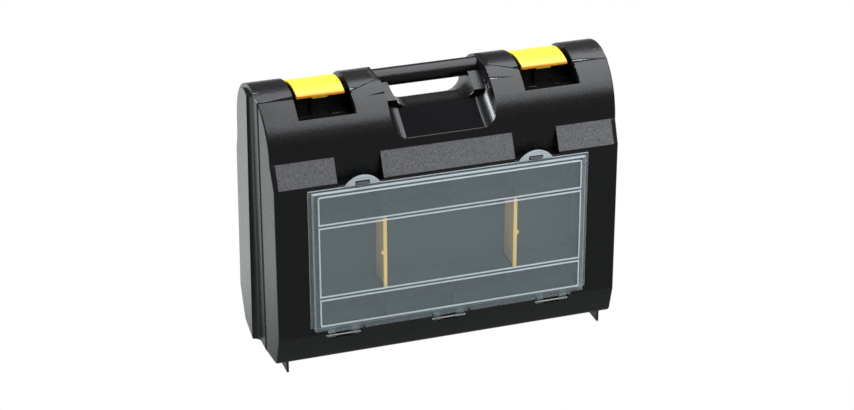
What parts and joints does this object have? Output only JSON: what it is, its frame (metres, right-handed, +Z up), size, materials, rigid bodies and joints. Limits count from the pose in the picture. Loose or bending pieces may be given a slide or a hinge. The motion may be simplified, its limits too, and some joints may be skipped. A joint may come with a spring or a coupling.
{
  "type": "hard tool case",
  "caption": "Upright hard plastic tool case with a hinged front shell, lever latches, a carrying bar and a clear-lidded small-parts organiser.",
  "frame": {"origin": "on the surface the feet stand on, centred in width and depth", "axes": "+X along the width to the right, the front with the organiser faces -Y, +Z up"},
  "size_m": [0.437, 0.17, 0.3345],
  "materials": {
    "shell": "black moulded plastic with a fine texture",
    "latch": "yellow moulded plastic, smooth",
    "steel": "plain steel wire pins",
    "clear": "clear, slightly frosted moulded plastic",
    "divider": "yellow moulded plastic, satin"
  },
  "bodies": {
    "rear": {"rear_shell": "shell", "left_latch_pin": "steel", "right_latch_pin": "steel", "left_hinge_pin": "steel", "middle_hinge_pin": "steel", "right_hinge_pin": "steel"},
    "front": {"front_shell": "shell", "left_lid_pin": "steel", "middle_lid_pin": "steel", "right_lid_pin": "steel", "left_divider": "divider", "right_divider": "divider"},
    "lid": {"organiser_lid": "clear"},
    "latch_left": {"left_latch": "latch"},
    "latch_right": {"right_latch": "latch"}
  },
  "joints": [
    {"name": "case_hinge", "type": "hinge", "parent": "rear", "child": "front", "pos_m": [0, -0.026, 0.007], "axis": [1, 0, 0], "range_deg": [0, 110]},
    {"name": "lid_hinge", "type": "hinge", "parent": "front", "child": "lid", "pos_m": [0, -0.0733, 0.0458], "axis": [1, 0, 0], "range_deg": [0, 115]},
    {"name": "left_latch_pivot", "type": "hinge", "parent": "rear", "child": "latch_left", "pos_m": [-0.1345, 0.04056, 0.31629], "axis": [-1, 0, 0], "range_deg": [0, 100]},
    {"name": "right_latch_pivot", "type": "hinge", "parent": "rear", "child": "latch_right", "pos_m": [0.1345, 0.04056, 0.31629], "axis": [-1, 0, 0], "range_deg": [0, 100]}
  ]
}
